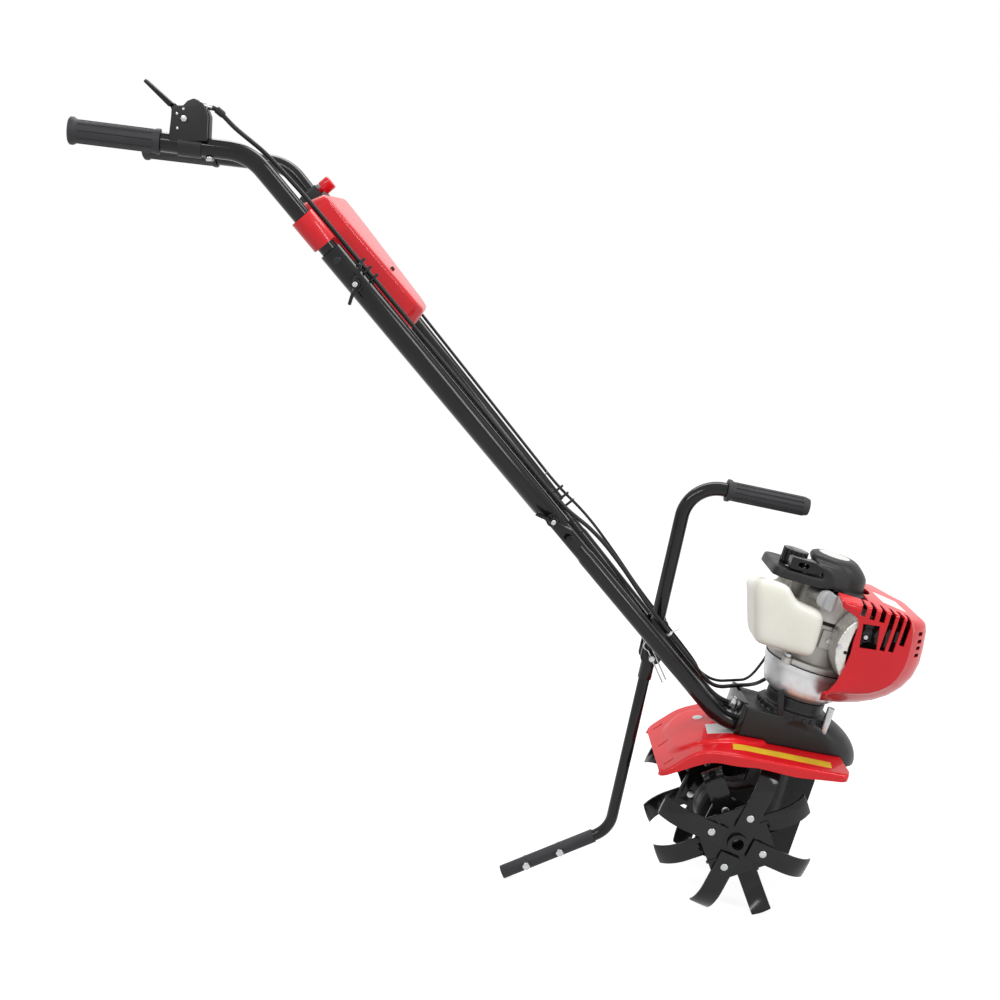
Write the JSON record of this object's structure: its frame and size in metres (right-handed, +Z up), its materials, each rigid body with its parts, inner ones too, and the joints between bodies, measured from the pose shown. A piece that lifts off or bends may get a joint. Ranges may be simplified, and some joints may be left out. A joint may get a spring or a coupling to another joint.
{
  "type": "mini tiller",
  "caption": "Small petrol tiller: engine over a worm gear case, bent-blade tine stars under a fender, folding handle bars with throttle and stop switch, drag bar and carry handle.",
  "frame": {"origin": "on the ground, in the middle of the machine's outline", "axes": "+X forward, +Y the operator's left, +Z up"},
  "size_m": [1.06, 0.3582, 1.0641],
  "materials": {
    "red_paint": "gloss",
    "red_plastic": "gloss moulded",
    "black_tube": "gloss powder coat",
    "black_plastic": "satin moulded",
    "grip_rubber": "matte",
    "cable_jacket": "satin",
    "rope": "braided cord",
    "zinc": "bright zinc",
    "steel": "machined",
    "tine_black": "satin",
    "bronze": "machined",
    "grey_casting": "sand cast",
    "black_casting": "sand cast, satin black",
    "silver_casting": "die cast",
    "heat_shield": "pressed sheet",
    "tank_plastic": "milky translucent",
    "oil_cap": "moulded"
  },
  "bodies": {
    "base": {"base_plate": "black_tube", "lower_tubes": "black_tube", "tube_bracket": "black_tube", "carry_tube": "black_tube", "carry_grip": "grip_rubber", "drag_bar": "black_tube", "drag_shoe": "grip_rubber", "hitch_pin": "zinc", "fender": "red_paint", "gear_case_right": "black_casting", "gear_case_left": "black_casting", "axle_bushes": "bronze", "frame_bolts": "zinc", "upper_housing": "black_plastic", "clutch_housing": "silver_casting", "crankcase": "grey_casting", "cylinder": "grey_casting", "muffler": "steel", "heat_shield": "heat_shield", "engine_cover": "red_plastic", "fuel_tank": "tank_plastic", "starter_cover": "black_plastic", "air_cleaner": "black_plastic", "carburettor": "grey_casting", "engine_cables": "cable_jacket"},
    "handle": {"sleeve_right": "black_tube", "sleeve_left": "black_tube", "upper_tube_right": "black_tube", "upper_tube_left": "black_tube", "grip_right": "grip_rubber", "grip_left": "grip_rubber", "console": "red_plastic", "switch_base": "black_plastic", "throttle_bracket": "black_plastic", "handle_bolts": "zinc", "handle_cables": "cable_jacket"},
    "lever": {"throttle_lever": "black_plastic"},
    "stop_button": {"stop_knob": "red_plastic"},
    "wing_nut_upper_right": {"wing_nut_upper_right": "black_plastic"},
    "wing_nut_upper_left": {"wing_nut_upper_left": "black_plastic"},
    "wing_nut_lower_right": {"wing_nut_lower_right": "black_plastic"},
    "wing_nut_lower_left": {"wing_nut_lower_left": "black_plastic"},
    "clip": {"hitch_clip": "zinc"},
    "pull": {"starter_grip": "black_plastic", "starter_rope": "rope"},
    "pulley": {"starter_pulley": "black_plastic"},
    "crank": {"crankshaft": "steel", "flywheel": "grey_casting", "clutch_shoes": "grey_casting"},
    "tines": {"tine_axle": "steel", "worm_wheel": "bronze", "tine_hub_right": "tine_black", "tine_hub_left": "tine_black", "tine_blades_right": "tine_black", "tine_blades_left": "tine_black", "tine_pins_and_rivets": "zinc"},
    "drive": {"drive_shaft": "steel", "clutch_drum": "steel"},
    "fuel_cap": {"fuel_cap": "black_plastic"},
    "oil_cap": {"oil_cap": "oil_cap"}
  },
  "joints": [
    {"name": "handle_fold", "type": "hinge", "parent": "base", "child": "handle", "pos_m": [0.0517, 0, 0.5117], "axis": [0, 1, 0], "range_deg": [0, 110], "deforming": ["engine_cables"]},
    {"name": "throttle", "type": "hinge", "parent": "handle", "child": "lever", "pos_m": [-0.3963, -0.145, 1.018], "axis": [0, -1, 0], "range_deg": [0, 35], "stiffness_Nm_per_rad": 0.15, "springref_deg": -17.19},
    {"name": "stop_push", "type": "slide", "parent": "handle", "child": "stop_button", "axis": [-0.7804, 0, -0.6253], "range_m": [0, 0.004], "stiffness_N_per_m": 600, "springref_m": -0.002},
    {"name": "wing_turn_upper_right", "type": "hinge", "parent": "handle", "child": "wing_nut_upper_right", "pos_m": [-0.20804, -0.11448, 0.83589], "axis": [0, -1, 0], "continuous": true},
    {"name": "wing_turn_upper_left", "type": "hinge", "parent": "handle", "child": "wing_nut_upper_left", "pos_m": [-0.20804, 0.11448, 0.83589], "axis": [0, 1, 0], "continuous": true},
    {"name": "wing_turn_lower_right", "type": "hinge", "parent": "handle", "child": "wing_nut_lower_right", "pos_m": [0.02995, -0.07189, 0.53885], "axis": [0, -1, 0], "continuous": true},
    {"name": "wing_turn_lower_left", "type": "hinge", "parent": "handle", "child": "wing_nut_lower_left", "pos_m": [0.02995, 0.07189, 0.53885], "axis": [0, 1, 0], "continuous": true},
    {"name": "clip_pull", "type": "slide", "parent": "base", "child": "clip", "axis": [-0.4067, 0, 0.9135], "range_m": [0, 0.045]},
    {"name": "starter_pull", "type": "slide", "parent": "base", "child": "pull", "axis": [-0.9613, 0, 0.2756], "range_m": [0, 0.55], "stiffness_N_per_m": 10, "springref_m": -0.3, "deforming": ["starter_rope"]},
    {"name": "pulley_spin", "type": "hinge", "parent": "base", "child": "pulley", "pos_m": [0.41965, 0, 0.44596], "axis": [0.2756, 0, 0.9613], "range_deg": [-1700, 0]},
    {"name": "crank_spin", "type": "hinge", "parent": "base", "child": "crank", "pos_m": [0.39843, 0, 0.37195], "axis": [0.2756, 0, 0.9613], "continuous": true},
    {"name": "tine_spin", "type": "hinge", "parent": "base", "child": "tines", "pos_m": [0.2762, 0, 0.10531], "axis": [0, 1, 0], "continuous": true},
    {"name": "drive_spin", "type": "hinge", "parent": "base", "child": "drive", "pos_m": [0.3185, 0, 0.09318], "axis": [0.2756, 0, 0.9613], "continuous": true},
    {"name": "fuel_cap_turn", "type": "hinge", "parent": "base", "child": "fuel_cap", "pos_m": [0.35058, -0.018, 0.46265], "axis": [0.2756, 0, 0.9613], "continuous": true},
    {"name": "oil_cap_turn", "type": "hinge", "parent": "base", "child": "oil_cap", "pos_m": [0.37706, -0.026, 0.42801], "axis": [0.4364, -0.891, -0.1251], "continuous": true}
  ],
  "couplings": [
    {"joint": "drive_spin", "follows": "tine_spin", "ratio": 35},
    {"joint": "pulley_spin", "follows": "starter_pull", "rad_per_m": -51.282}
  ]
}
